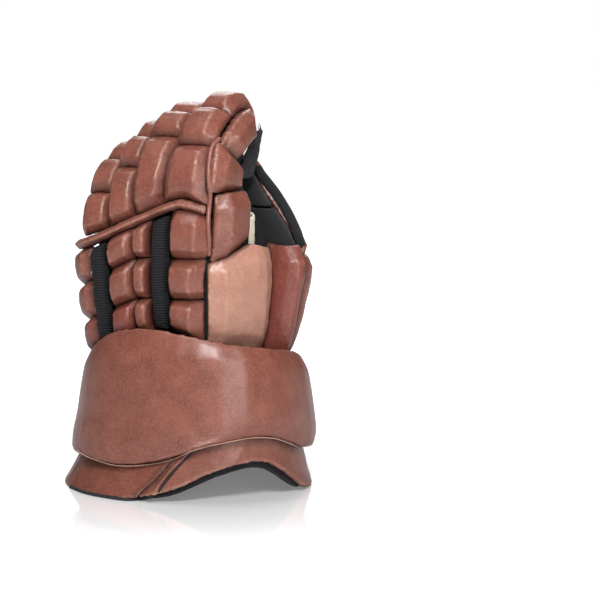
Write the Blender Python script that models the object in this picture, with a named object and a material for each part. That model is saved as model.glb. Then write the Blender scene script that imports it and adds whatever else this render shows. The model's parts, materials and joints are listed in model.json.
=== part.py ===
"""Left-hand ice hockey glove, standing on its cuff.

The wearer's thumb side is +X, the palm is +Y, the back of the hand is -Y and +Z is up. The hand is a
hollow fabric pocket with four finger stalls and a thumb stall. Leather pads lie on it in rows, and a
cuff band and a flared skirt stand round the wrist. Lengths are in metres.
"""

import math

import bmesh
import bpy
from mathutils import Vector

# Hand pocket and the heights that the pads follow
HAND_WIDTH = 0.108
HAND_DEPTH = 0.068
HAND_MIDDLE_X = -0.021
WRIST_HEIGHT = 0.072
KNUCKLE_HEIGHT = 0.233
KNUCKLE_SLOPE = 0.43
KNUCKLE_PEAK = 0.34
KNUCKLE_ROUND = 0.006
POCKET_CORNER = 0.015
STALL_TUCK = 0.016

# Soft goods
CLEARANCE = 0.0003
PAD_GAP = 0.0008
SEAM = 0.0007
SHELL_WALL = 0.0022
STALL_WALL = 0.0018
SUEDE_THICKNESS = 0.0025
BACK_PAD_THICKNESS = 0.017
EDGE_PAD_THICKNESS = 0.013
RIBBON_THICKNESS = 0.0155
FINGER_PAD_THICKNESS = 0.015
SIDE_PAD_THICKNESS = 0.013
ULNAR_PAD_THICKNESS = 0.008
WELT_HEIGHT = 0.0065
WELT_THICKNESS = 0.012
GUARD_THICKNESS = 0.015
TAPE_THICKNESS = 0.004

# Fingers, curled as quarter rings over the top of the palm
CURL_RADIUS = 0.064
KNUCKLE_WIDTH = 0.128
FINGERTIP_DEPTH = 0.031
TIP_FRONT_SHARE = 0.65
STALL_CORNER = 0.009

# Thumb
THUMB_WIDTH = 0.070
THUMB_DEPTH = 0.025
THUMB_FOOT = 0.108
THUMB_SHOULDER = 0.243
THUMB_CAP = 0.019
THUMB_PAD_THICKNESS = 0.010
THUMB_GUSSET_BULGE = 0.005

# Cuff
CUFF_WIDTH = 0.180
CUFF_DEPTH = 0.148
CUFF_CENTRE_Y = 0.008
CUFF_HEIGHT = 0.138
CUFF_SQUARENESS = 2.3
LAYER_GAP = 0.0011
LINING_WALL = 0.0025
LINING_TOP = 0.098
FLARE_WALL = 0.005
FLARE_HEIGHT = 0.064
BAND_THICKNESS = 0.014
BAND_RIM = 0.009
FLARE_SPREAD = 0.019
ARCH_RISE = 0.034
LINING_SHOW = 0.008
COLLAR_THICKNESS = 0.0025
COLLAR_GAP = 0.0015
COLLAR_RISE = 0.005

# How strongly the mesh lines gather at a pad's edges, 1 for none
EDGE_GATHER = 0.8

BROWN = (0.29, 0.105, 0.075, 1.0)
LIGHT_BROWN = (0.42, 0.22, 0.17, 1.0)
BLACK = (0.016, 0.016, 0.017, 1.0)
CREAM = (0.62, 0.56, 0.40, 1.0)
GREY = (0.17, 0.14, 0.11, 1.0)

# Sections of the pocket. Height is a share of the knuckle height, side places are shares of the hand's
# width from its middle line, and front and back places are shares of the hand's depth.
HAND_SECTIONS = (
    # height, ulnar, radial_back, radial_palm, back, palm
    (0.30, -0.39, 0.50, 0.56, -0.42, 0.44),
    (0.46, -0.45, 0.50, 0.69, -0.46, 0.44),
    (0.63, -0.52, 0.50, 0.80, -0.48, 0.48),
    (0.775, -0.555, 0.50, 0.82, -0.49, 0.51),
    (0.825, -0.57, 0.53, 0.60, -0.49, 0.51),
    (1.05, -0.60, 0.57, 0.61, -0.49, 0.51),
)

# Heights as shares of the knuckle height: the palm strips' ends, the shelf in the thumb's crotch and the
# side guard's top. The guard's top is highest at a place between the corners 1 and 2.
PALM_FOOT = 0.462
PALM_SEAM = 0.765
CROTCH_FOOT = 0.775
CROTCH_TOP = 0.825
GUARD_TOP = 0.87
GUARD_TOP_SLOPE = 0.10
GUARD_PEAK = 1.62

# Fingers from the thumb side. Edges are shares of the knuckle width from the hand's middle line, at the
# knuckle and at the tip, and overhang is how far the rolls pass the outer edge; rise and forward are the
# curl centre's places over the knuckle line and towards the palm, as shares of the curl radius; the joints
# are the angles where each roll ends.
FINGERS = (
    # name, knuckle_edges, tip_edges, overhang, rise, forward, joints
    ("index", (0.445, 0.130), (0.430, 0.190), 0.0, 0.17, 0.0, (33.0, 65.0, 86.0)),
    ("middle", (0.130, -0.080), (0.190, -0.095), 0.0, 0.20, 0.0, (49.0, 72.0, 88.0)),
    ("ring", (-0.080, -0.285), (-0.095, -0.295), 0.0, 0.13, 0.04, (38.0, 64.0, 88.0)),
    ("pinky", (-0.285, -0.455), (-0.295, -0.475), 0.045, 0.01, 0.08, (34.0, 62.0, 86.0)),
)

# Boundaries between the rows of back pads, as shares of the knuckle height at three places
ROW_LEVELS = (
    # radial, seam, ulnar
    (0.690, 0.680, 0.590),
    (0.830, 0.820, 0.715),
)

# Columns of back pads, as shares of the back's width from its ulnar corner
BACK_COLUMNS = (
    # name, start, end
    ("outer", -0.20, 0.080),
    ("outer_ribbon", 0.080, 0.225),
    ("outer_inner", 0.225, 0.455),
    ("inner", 0.455, 0.580),
    ("inner_ribbon", 0.580, 0.735),
    ("inner_outer", 0.735, 0.985),
)
BACK_SEAM = 0.455

# Cuff edges round the wrist. Angles run from the thumb side towards the palm; the top and the band's
# lower lip are shares of the cuff height, and arch is a share of the arch's rise.
CUFF_EDGES = (
    # angle, top, lip, arch, spread
    (-180.0, 0.78, 0.215, 0.0, 0.90),
    (-150.0, 0.81, 0.205, 0.0, 1.00),
    (-120.0, 0.94, 0.200, 0.0, 0.95),
    (-95.0, 1.00, 0.215, 0.08, 0.80),
    (-78.0, 0.985, 0.285, 0.38, 0.60),
    (-60.0, 0.955, 0.350, 0.75, 0.45),
    (-40.0, 0.925, 0.395, 0.97, 0.35),
    (-22.0, 0.900, 0.395, 0.97, 0.30),
    (-6.0, 0.870, 0.335, 0.62, 0.30),
    (9.0, 0.835, 0.265, 0.12, 0.30),
    (30.0, 0.775, 0.240, 0.0, 0.35),
    (60.0, 0.750, 0.235, 0.0, 0.45),
    (120.0, 0.750, 0.225, 0.0, 0.65),
    (180.0, 0.780, 0.215, 0.0, 0.90),
)

# Thumb sections between its foot and its shoulder. The centre is given by shares of the hand's width and
# depth, the turn is in degrees from the X axis, and the sizes are shares of the thumb's.
THUMB_SECTIONS = (
    # height, centre_x, centre_y, turn, width, depth
    (0.00, 0.520, 0.640, -20.0, 0.80, 0.84),
    (0.31, 0.590, 0.805, -32.0, 1.00, 1.00),
    (0.64, 0.635, 0.865, -36.0, 1.00, 1.00),
    (1.00, 0.330, 0.910, -38.0, 0.74, 0.90),
)

# The thumb's stall is sewn from three tubes, each with its rings as shares of the thumb's height
THUMB_STALL_PARTS = (
    # name, alongs
    ("thumb_stall_base", (0.0, 0.22, 0.448)),
    ("thumb_stall_middle", (0.45, 0.60, 0.75, 0.888)),
    ("thumb_stall_tip", (0.89, 1.0, 1.3, 1.6, 1.85)),
)

# Seams of the cuff's panels, each as an angle at the panel's foot and one at its top
SKIRT_SPLIT = (-178.0, -178.0)
SKIRT_SEAM = (-92.0, -64.0)
SKIRT_CORNER = (28.0, 28.0)
BAND_ENDS = ((-176.0, -176.0), (100.0, 100.0))
ULNAR_ENDS = ((101.0, 101.0), (183.0, 183.0))
ULNAR_SPLIT = 0.062

# Cuff body: half sizes as shares of the cuff's at each height share
CUFF_PROFILE = (
    # height, share
    (0.00, 1.00),
    (0.25, 0.955),
    (0.45, 0.950),
    (0.75, 0.915),
    (1.00, 0.880),
)


def clear_scene():
    for obj in list(bpy.data.objects):
        bpy.data.objects.remove(obj, do_unlink=True)


def blend(start, end, share):
    return start + (end - start) * share


def row_between(table, key):
    """The two rows of a table on either side of a key, and the share between them."""
    if key <= table[0][0]:
        return table[0], table[0], 0.0
    for low, high in zip(table, table[1:]):
        if key <= high[0]:
            return low, high, (key - low[0]) / (high[0] - low[0])
    return table[-1], table[-1], 0.0


def read_table(table, key):
    low, high, share = row_between(table, key)
    return [blend(a, b, share) for a, b in zip(low[1:], high[1:])]


def curve_read(table, key):
    """A table read along a smooth curve through its rows."""
    low, high, share = row_between(table, key)
    if low is high:
        return list(low[1:])
    step = high[0] - low[0]
    first = table[max(table.index(low) - 1, 0)]
    last = table[min(table.index(high) + 1, len(table) - 1)]
    found = []
    for before, start, end, after in zip(first[1:], low[1:], high[1:], last[1:]):
        rise = (end - before) / (high[0] - first[0]) * step
        fall = (after - start) / (last[0] - low[0]) * step
        cubic = 2.0 * (start - end) + rise + fall
        square = 3.0 * (end - start) - 2.0 * rise - fall
        found.append(start + share * (rise + share * (square + share * cubic)))
    return found


def material(name, colour, roughness):
    found = bpy.data.materials.new(name)
    found.use_nodes = True
    shader = found.node_tree.nodes["Principled BSDF"]
    shader.inputs["Base Color"].default_value = colour
    shader.inputs["Roughness"].default_value = roughness
    shader.inputs["Metallic"].default_value = 0.0
    found.diffuse_color = colour
    return found


def add_object(name, mesh, colour, roughness=0.5):
    bm = bmesh.new()
    bm.from_mesh(mesh)
    bmesh.ops.recalc_face_normals(bm, faces=bm.faces)
    bmesh.ops.triangulate(bm, faces=[face for face in bm.faces if len(face.verts) > 4])
    bm.to_mesh(mesh)
    bm.free()
    mesh.shade_smooth()
    mesh.set_sharp_from_angle(angle=math.radians(50.0))
    mesh.materials.append(material(name + "_finish", colour, roughness))
    obj = bpy.data.objects.new(name, mesh)
    bpy.context.scene.collection.objects.link(obj)
    return obj


def mesh_from(name, points, faces):
    mesh = bpy.data.meshes.new(name)
    mesh.from_pydata([tuple(point) for point in points], [], faces)
    mesh.update()
    return mesh


# Surfaces that the pieces follow


def hand_corners(height):
    """The pocket's four corners at a height: back ulnar, back radial, palm radial and palm ulnar."""
    ulnar, radial_back, radial_palm, back, palm = read_table(HAND_SECTIONS, height / KNUCKLE_HEIGHT)
    left = HAND_MIDDLE_X + ulnar * HAND_WIDTH
    return (
        Vector((left, back * HAND_DEPTH)),
        Vector((HAND_MIDDLE_X + radial_back * HAND_WIDTH, back * HAND_DEPTH)),
        Vector((HAND_MIDDLE_X + radial_palm * HAND_WIDTH, palm * HAND_DEPTH)),
        Vector((left, palm * HAND_DEPTH)),
    )


def corner_arc(before, corner, after, radius):
    """A fillet's centre, its start angle and its turn."""
    to_before = (before - corner).normalized()
    to_after = (after - corner).normalized()
    half = to_before.angle(to_after) / 2.0
    centre = corner + (to_before + to_after).normalized() * (radius / math.sin(half))
    start_normal = Vector((-to_before.y, to_before.x))
    turn = math.pi - 2.0 * half
    return centre, math.atan2(start_normal.y, start_normal.x), turn


def hand_place(height, around, offset):
    """A point on the pocket at an offset. Around counts corners: 0 back ulnar, 1 back radial, 2 palm radial."""
    corners = hand_corners(height)
    side = math.floor(around)
    share = around - side
    arcs = []
    for index in (side, side + 1):
        before = corners[(index - 1) % 4]
        corner = corners[index % 4]
        after = corners[(index + 1) % 4]
        arcs.append(corner_arc(before, corner, after, POCKET_CORNER))
    (centre, start, turn), (next_centre, next_start, next_turn) = arcs
    half_arc = POCKET_CORNER * turn / 2.0
    next_half_arc = POCKET_CORNER * next_turn / 2.0
    first_end = centre + Vector((math.cos(start + turn), math.sin(start + turn))) * POCKET_CORNER
    next_begin = next_centre + Vector((math.cos(next_start), math.sin(next_start))) * POCKET_CORNER
    straight = (next_begin - first_end).length
    distance = share * (half_arc + straight + next_half_arc)
    if distance < half_arc:
        angle = start + turn / 2.0 + distance / POCKET_CORNER
        spot = centre + Vector((math.cos(angle), math.sin(angle))) * (POCKET_CORNER + offset)
    elif distance < half_arc + straight:
        normal = Vector((math.cos(start + turn), math.sin(start + turn)))
        spot = first_end.lerp(next_begin, (distance - half_arc) / straight) + normal * offset
    else:
        angle = next_start + (distance - half_arc - straight) / POCKET_CORNER
        spot = next_centre + Vector((math.cos(angle), math.sin(angle))) * (POCKET_CORNER + offset)
    return Vector((spot.x, spot.y, height))


def knuckle_line(x):
    """Height of the knuckles, which falls towards the little finger."""
    away = x - HAND_MIDDLE_X - KNUCKLE_PEAK * HAND_WIDTH
    return KNUCKLE_HEIGHT - KNUCKLE_SLOPE * (math.hypot(away, KNUCKLE_ROUND) - KNUCKLE_ROUND)


def cuff_place(angle, height, offset):
    """A point on the cuff body. The angle is in degrees from the thumb side towards the palm."""
    (share,) = curve_read(CUFF_PROFILE, height / CUFF_HEIGHT)
    spread = curve_read(CUFF_EDGES, wrapped(angle))[3] * FLARE_SPREAD
    offset = offset + spread * max(1.0 - height / FLARE_HEIGHT, 0.0) ** 1.6
    turn = math.radians(angle)
    power = 2.0 / CUFF_SQUARENESS
    across = math.copysign(abs(math.cos(turn)) ** power, math.cos(turn))
    along = math.copysign(abs(math.sin(turn)) ** power, math.sin(turn))
    half_width = share * CUFF_WIDTH / 2.0 + offset
    half_depth = share * CUFF_DEPTH / 2.0 + offset
    return Vector((half_width * across, CUFF_CENTRE_Y + half_depth * along, height))


def wrapped(angle):
    return (angle + 180.0) % 360.0 - 180.0


def cuff_edge(angle):
    """Heights of the band's top, its lower lip and the skirt's hem at an angle."""
    top, lip, arch, _ = curve_read(CUFF_EDGES, wrapped(angle))
    return top * CUFF_HEIGHT, lip * CUFF_HEIGHT, max(arch, 0.0) * ARCH_RISE


def cuff_top_near(x, y):
    angle = math.degrees(math.atan2(y - CUFF_CENTRE_Y, x))
    return cuff_edge(angle)[0]


class Finger:
    """One curled finger: where its stall and its rolls lie."""

    def __init__(self, row):
        self.name, self.knuckle_edges, self.tip_edges, self.overhang, rise, forward, self.joints = row
        self.radius = CURL_RADIUS
        middle = HAND_MIDDLE_X + (self.knuckle_edges[0] + self.knuckle_edges[1]) / 2.0 * KNUCKLE_WIDTH
        back_wall = HAND_SECTIONS[-1][4] * HAND_DEPTH + SHELL_WALL + 2.0 * CLEARANCE
        self.centre_y = back_wall + (1.0 + forward) * CURL_RADIUS
        self.centre_z = knuckle_line(middle) + rise * CURL_RADIUS

    def edges(self, height):
        """Places of the finger's thumb side and its other side at a height."""
        fan = (height - KNUCKLE_HEIGHT) / (CURL_RADIUS + FINGER_PAD_THICKNESS)
        first = blend(self.knuckle_edges[0], self.tip_edges[0], fan)
        second = blend(self.knuckle_edges[1], self.tip_edges[1], fan)
        return HAND_MIDDLE_X + first * KNUCKLE_WIDTH, HAND_MIDDLE_X + second * KNUCKLE_WIDTH

    def across(self, share, height, inset):
        """A side place, 0 at the little finger's side and 1 at the thumb's, kept in from both edges."""
        first, second = self.edges(height)
        return blend(second + inset, first - inset, share)

    def ray(self, angle):
        """The direction from the curl's centre at an angle, 0 pointing at the back of the hand."""
        turn = math.radians(angle)
        return Vector((0.0, -math.cos(turn), math.sin(turn)))

    def back(self, distance, offset):
        """A point on the stall's back at a distance past the knuckle, and on over the fingertip."""
        end = self.joints[-1]
        arc_length = self.radius * math.radians(end)
        tip_arc = STALL_CORNER * math.pi / 2.0
        centre = Vector((0.0, self.centre_y, self.centre_z))
        if distance < 0.0:
            return Vector((0.0, self.centre_y - self.radius - offset, self.centre_z + distance)), 0.0
        if distance < arc_length:
            angle = math.degrees(distance / self.radius)
            return centre + self.ray(angle) * (self.radius + offset), angle
        outward = self.ray(end)
        onward = self.ray(end + 90.0)
        hub = centre + outward * (self.radius - STALL_CORNER)
        if distance < arc_length + tip_arc:
            turn = (distance - arc_length) / STALL_CORNER
            side = outward * math.cos(turn) + onward * math.sin(turn)
            return hub + side * (STALL_CORNER + offset), end
        down = distance - arc_length - tip_arc
        return hub + onward * (STALL_CORNER + offset) - outward * down, end

    def palm_side(self, angle):
        """A point on the stall's palm side, straight up from the palm and then along the fingertip."""
        share = min(max(angle / self.joints[-1], 0.0), 1.0)
        foot_y = HAND_DEPTH * 0.5 - CLEARANCE - SHELL_WALL
        tip = self.ray(self.joints[-1]) * (self.radius - FINGERTIP_DEPTH)
        return Vector(
            (
                0.0,
                blend(foot_y, self.centre_y + tip.y, share),
                self.centre_z + blend(0.0, tip.z, share),
            )
        )


# Builders


def section_ring(back, palm, across, corner):
    """A rounded rectangle from the back point to the palm point. Across gives a side place at a height."""
    depth = (palm - back).length
    down = (palm - back).normalized()
    width = across(1.0, back.z) - across(0.0, back.z)
    radius = min(corner, depth * 0.45, width * 0.45)
    hubs = (
        # share, along, start_angle
        (1.0, radius, 0.0),
        (0.0, radius, 90.0),
        (0.0, depth - radius, 180.0),
        (1.0, depth - radius, 270.0),
    )
    ring = []
    for share, along, start in hubs:
        for step in (0.0, 45.0, 90.0):
            turn = math.radians(start + step)
            spot = back + down * (along - radius * math.sin(turn))
            inward = radius if share == 0.0 else -radius
            ring.append(Vector((across(share, spot.z) + inward + radius * math.cos(turn), spot.y, spot.z)))
    return ring


def ring_faces(first, second, count):
    return [
        (first + step, first + (step + 1) % count, second + (step + 1) % count, second + step)
        for step in range(count)
    ]


def hollow_tube(name, outer_rings, inner_rings, colour, closed_end, roughness=0.8):
    """A wall between outer rings and inner rings. A closed end has both last rings capped."""
    count = len(outer_rings[0])
    points = []
    for ring in outer_rings + inner_rings:
        points.extend(ring)
    inner_start = len(outer_rings) * count
    faces = []
    for index in range(len(outer_rings) - 1):
        faces += ring_faces(index * count, (index + 1) * count, count)
    for index in range(len(inner_rings) - 1):
        first = inner_start + index * count
        faces += ring_faces(first + count, first, count)
    faces += ring_faces(inner_start, 0, count)
    outer_last = (len(outer_rings) - 1) * count
    inner_last = inner_start + (len(inner_rings) - 1) * count
    if closed_end:
        faces.append(tuple(outer_last + step for step in range(count)))
        faces.append(tuple(inner_last + count - 1 - step for step in range(count)))
    else:
        faces += ring_faces(outer_last, inner_last, count)
    return add_object(name, mesh_from(name, points, faces), colour, roughness)


def pad(name, place, thickness, colour, columns=5, rows=4, edge=0.45, roll=0.0, roughness=0.45):
    """A padded block: place(u, v, offset) gives its surface, and its face swells between its edges.

    Roll is how much more the face falls away towards the two edges across v.
    """
    return block(
        name,
        lambda u, v: place(u, v, PAD_GAP),
        lambda u, v: place(u, v, PAD_GAP + thickness * swell(u, v, edge, roll)),
        colour,
        columns,
        rows,
        roughness,
    )


def swell(u, v, edge, roll):
    """The share of the full thickness at a place on a pad's face."""
    across = 1.0 - (1.0 - edge) * abs(2.0 * u - 1.0) ** 6
    along = 1.0 - (1.0 - edge) * abs(2.0 * v - 1.0) ** 5
    hump = 1.0 - roll * (2.0 * v - 1.0) ** 2
    return across * along * hump


def stations(count):
    """Places along a pad from 0 to 1, closer together near its edges."""
    centred = [2.0 * step / count - 1.0 for step in range(count + 1)]
    return [0.5 + 0.5 * math.copysign(abs(place) ** EDGE_GATHER, place) for place in centred]


def block(name, under, over, colour, columns, rows, roughness=0.45):
    """A closed solid between an under surface and an over surface, both functions of (u, v)."""
    points = []
    width = columns + 1
    for surface in (under, over):
        for v in stations(rows):
            for u in stations(columns):
                points.append(surface(u, v))
    faces = []
    layer = width * (rows + 1)
    for row in range(rows):
        for column in range(columns):
            corner = row * width + column
            quad = (corner, corner + 1, corner + width + 1, corner + width)
            faces.append(tuple(reversed(quad)))
            faces.append(tuple(layer + index for index in quad))
    border = [column for column in range(columns)]
    border += [row * width + columns for row in range(rows)]
    border += [rows * width + column for column in range(columns, 0, -1)]
    border += [row * width for row in range(rows, 0, -1)]
    for first, second in zip(border, border[1:] + border[:1]):
        faces.append((first, second, layer + second, layer + first))
    return add_object(name, mesh_from(name, points, faces), colour, roughness)


# Hand


def pocket_top(around):
    spot = hand_place(KNUCKLE_HEIGHT, around, 0.0)
    return knuckle_line(spot.x) - CLEARANCE


def build_hand_pocket():
    arounds = [side + share for side in range(4) for share in (0.0, 0.08, 0.17, 0.5, 0.83, 0.92)]
    levels = [WRIST_HEIGHT] + [row[0] * KNUCKLE_HEIGHT for row in HAND_SECTIONS[1:]]
    outer = []
    inner = []
    for index, level in enumerate(levels):
        outer_ring = []
        inner_ring = []
        left = len(levels) - 1 - index
        for around in arounds:
            height = min(level, pocket_top(around) - left * SHELL_WALL)
            outer_ring.append(hand_place(height, around, 0.0))
            inner_ring.append(hand_place(height, around, -SHELL_WALL))
        outer.append(outer_ring)
        inner.append(inner_ring)
    hollow_tube("hand_pocket", outer, inner, BLACK, closed_end=False)


def row_level(level, column):
    """Height of a boundary between rows of back pads at a place across the back."""
    if level == 0:
        spot = hand_place(CUFF_HEIGHT, column, BACK_PAD_THICKNESS)
        return cuff_top_near(spot.x, spot.y) + SEAM
    if level == 3:
        return knuckle_line(hand_place(KNUCKLE_HEIGHT, column, 0.0).x)
    radial, seam, ulnar = ROW_LEVELS[level - 1]
    if column > BACK_SEAM:
        return KNUCKLE_HEIGHT * blend(seam, radial, min((column - BACK_SEAM) / (1.0 - BACK_SEAM), 1.0))
    return KNUCKLE_HEIGHT * blend(ulnar, seam, max(column / BACK_SEAM, -0.3))


def back_place(start, end, low, high):
    """The surface of a pad on the back of the hand, between two columns and two row boundaries."""

    def place(u, v, offset):
        column = blend(start, end, u)
        bottom = row_level(low, column) + SEAM
        top = row_level(high, column) - SEAM
        return hand_place(blend(bottom, top, v), column, offset)

    return place


def build_back_pads():
    half_seam = SEAM / HAND_WIDTH / 2.0
    for name, start, end in BACK_COLUMNS:
        if name.endswith("ribbon"):
            place = back_place(start + half_seam, end - half_seam, 0, 3)
            pad("elastic_" + name, place, RIBBON_THICKNESS, BLACK, columns=3, rows=9, edge=0.7, roughness=0.8)
            continue
        for row in range(3):
            place = back_place(start + half_seam, end - half_seam, row, row + 1)
            at_edge = name == "outer"
            pad(
                "back_pad_" + name + "_" + str(row + 1),
                place,
                EDGE_PAD_THICKNESS if at_edge else BACK_PAD_THICKNESS,
                BROWN,
                columns=6 if at_edge else 4,
                rows=4,
                roll=0.12,
            )


def build_knuckle_welt():
    def place(u, v, offset):
        around = blend(-0.18, 0.96, u)
        level = row_level(3, around) + SEAM
        return hand_place(level + v * WELT_HEIGHT, around, offset)

    pad("knuckle_welt", place, WELT_THICKNESS, BROWN, columns=12, rows=2, edge=0.7)


def strip_place(around_start, around_end, bottom, top):
    """A pad's surface on the pocket, with edge heights given as functions of the place around."""

    def place(u, v, offset):
        around = blend(around_start, around_end, u)
        return hand_place(blend(bottom(around), top(around), v), around, offset)

    return place


def above_cuff(around):
    spot = hand_place(CUFF_HEIGHT, around, GUARD_THICKNESS)
    return cuff_top_near(spot.x, spot.y) + 2.0 * SEAM


def at_height(share):
    return lambda around: share * KNUCKLE_HEIGHT


def build_side_guards():
    """The broad guard beside the back pads, the roll behind it and the index finger's lowest side pad."""

    def guard_top(around):
        return KNUCKLE_HEIGHT * (GUARD_TOP - GUARD_TOP_SLOPE * abs(around - GUARD_PEAK))

    def guard(u, v, offset):
        around = blend(1.02, 1.84, u)
        height = blend(above_cuff(around), guard_top(around), v)
        spot = hand_place(min(height, CROTCH_FOOT * KNUCKLE_HEIGHT), around, offset)
        return Vector((spot.x, spot.y, height))

    def finger_foot(u, v, offset):
        around = blend(1.02, GUARD_PEAK, u)
        height = blend(guard_top(around) + 2.0 * SEAM, 1.05 * KNUCKLE_HEIGHT, v)
        spot = hand_place(max(height, CROTCH_TOP * KNUCKLE_HEIGHT), around, offset)
        return Vector((spot.x, spot.y, height))

    pad("thumb_side_guard", guard, GUARD_THICKNESS, LIGHT_BROWN, columns=6, rows=6, edge=0.5)
    pad("index_side_pad_1", finger_foot, SIDE_PAD_THICKNESS, BROWN, columns=4, rows=4)


def build_palm():
    """Suede palm, its worn patch, the tape beside the thumb and the gusset and pads on the ulnar side."""

    def suede(u, v, offset):
        around = blend(1.78, 2.93, u)
        beside_thumb = min(max((2.30 - around) / 0.20, 0.0), 1.0)
        bottom = blend(PALM_SEAM + 0.005, CROTCH_TOP + 0.005, beside_thumb) * KNUCKLE_HEIGHT
        return hand_place(blend(bottom, pocket_top(around) - SEAM, v), around, offset)

    pad("palm_suede", suede, SUEDE_THICKNESS, CREAM, columns=14, rows=3, edge=0.9, roughness=0.9)
    patch = strip_place(2.585, 2.79, at_height(PALM_FOOT), at_height(PALM_SEAM))
    pad("palm_patch", patch, SUEDE_THICKNESS, GREY, columns=3, rows=4, edge=0.9, roughness=0.9)
    tape = strip_place(2.50, 2.58, at_height(PALM_FOOT), at_height(PALM_SEAM))
    pad("palm_tape", tape, TAPE_THICKNESS, BLACK, columns=2, rows=5, edge=0.7, roughness=0.8)
    gusset = strip_place(2.795, 2.91, at_height(PALM_FOOT), at_height(PALM_SEAM))
    pad("ulnar_gusset", gusset, SUEDE_THICKNESS, BLACK, columns=3, rows=4, edge=0.9, roughness=0.85)
    for index, (start, end, low, high) in enumerate(
        (
            # around_start, around_end, low, high
            (2.92, 3.78, PALM_FOOT, 0.575),
            (2.92, 3.78, 0.580, 0.690),
            (2.94, 3.78, 0.695, PALM_SEAM),
        )
    ):
        side = strip_place(start, end, at_height(low), at_height(high))
        pad("ulnar_pad_" + str(index + 1), side, ULNAR_PAD_THICKNESS, BROWN, columns=8, rows=3, edge=0.6)


# Fingers


def stall_rings(finger, inset):
    rings = []
    end = finger.joints[-1]
    arc = finger.radius * math.radians(end)
    for share in (None, 0.0, 0.2, 0.4, 0.6, 0.8, 0.93, 1.0):
        if share is None:
            back, angle = finger.back(-STALL_TUCK, 0.0)
            palm = finger.palm_side(0.0) - Vector((0.0, 0.0, STALL_TUCK))
        else:
            back, angle = finger.back(arc * share, 0.0)
            palm = finger.palm_side(angle)
        side = inset + CLEARANCE
        if share == 1.0:
            onward = finger.ray(end + 90.0)
            back = back - onward * inset
            palm = palm - onward * inset
            side = side + 0.003
            inward = (palm - back).normalized() * (0.003 + inset)
        else:
            inward = (palm - back).normalized() * inset

        def across(share, height, side=side):
            return finger.across(share, height, side)

        rings.append(section_ring(back + inward, palm - inward, across, STALL_CORNER - inset))
    return rings


def build_finger(finger):
    outer = stall_rings(finger, 0.0)
    inner = stall_rings(finger, STALL_WALL)
    hollow_tube("finger_stall_" + finger.name, outer, inner, BLACK, closed_end=True)
    end_distance = finger.radius * math.radians(finger.joints[-1]) + STALL_CORNER * math.pi / 2.0
    stops = [finger.radius * math.radians(angle) for angle in finger.joints[:2]]
    stops.append(end_distance + FINGERTIP_DEPTH * 0.30)
    for index, part in enumerate(("proximal_roll", "middle_roll", "tip_pad")):
        end = stops[index] - SEAM / 2.0

        def place(u, v, offset, index=index, end=end):
            start = knuckle_line(finger.across(u, KNUCKLE_HEIGHT, 0.0)) + WELT_HEIGHT + 3.0 * SEAM - finger.centre_z
            if index > 0:
                start = stops[index - 1] + SEAM / 2.0
            thinner = blend(1.0, TIP_FRONT_SHARE, v * v) if index == 2 else 1.0
            spot, _ = finger.back(blend(start, end, v), PAD_GAP + (offset - PAD_GAP) * thinner)
            wider = -finger.overhang * KNUCKLE_WIDTH * (1.0 - u)
            return Vector((finger.across(u, spot.z, CLEARANCE) + wider, spot.y, spot.z))

        rows = 9 if part == "tip_pad" else 5
        pad(finger.name + "_" + part, place, FINGER_PAD_THICKNESS, BROWN, columns=4, rows=rows, roll=0.1)


def build_index_side(finger):
    """Pads up the thumb side of the index finger, each a sector of the curl."""
    for index, (start, end, near, far) in enumerate(
        (
            # start_angle, end_angle, near_share, far_share
            (2.5, 36.0, 0.45, 1.12),
            (37.0, 88.0, 0.62, 1.01),
        )
    ):

        def place(u, v, offset, start=start, end=end, near=near, far=far):
            angle = blend(start, end, v)
            reach = finger.radius * blend(near, far, u)
            spot = finger.ray(angle) * reach
            height = finger.centre_z + spot.z
            beside = finger.edges(height)[0] - PAD_GAP / 2.0
            return Vector((beside + offset, finger.centre_y + spot.y, height))

        pad("index_side_pad_" + str(index + 2), place, SIDE_PAD_THICKNESS, BROWN, columns=4, rows=4)


# Thumb


def thumb_place(angle, along, offset):
    """A point on the thumb. Along runs 0 to 1 up to its shoulder and 1 to 2 over its rounded top."""
    rise = min(along, 1.0)
    centre_x, centre_y, turn, width, depth = curve_read(THUMB_SECTIONS, rise)
    cap = max(along - 1.0, 0.0) * math.pi / 2.0
    half_width = THUMB_WIDTH / 2.0 * width * math.cos(cap) + offset * math.cos(cap)
    half_depth = THUMB_DEPTH / 2.0 * depth * math.cos(cap) + offset * math.cos(cap)
    lean = (THUMB_CAP + offset) * math.sin(cap)
    heading = math.radians(turn)
    wide = Vector((math.cos(heading), math.sin(heading), 0.0))
    deep = Vector((-math.sin(heading), math.cos(heading), 0.0))
    centre = Vector(
        (
            HAND_MIDDLE_X + centre_x * HAND_WIDTH - 0.25 * lean,
            centre_y * HAND_DEPTH,
            blend(THUMB_FOOT, THUMB_SHOULDER, rise) + lean,
        )
    )
    bearing = math.radians(angle)
    return centre + wide * (half_width * math.cos(bearing)) + deep * (half_depth * math.sin(bearing))


def thumb_above_cuff(angle):
    """How far along the thumb the cuff's rim lies at an angle round it."""
    spot = thumb_place(angle, 0.1, THUMB_PAD_THICKNESS)
    return (cuff_top_near(spot.x, spot.y) + 2.0 * SEAM - THUMB_FOOT) / (THUMB_SHOULDER - THUMB_FOOT)


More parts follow.
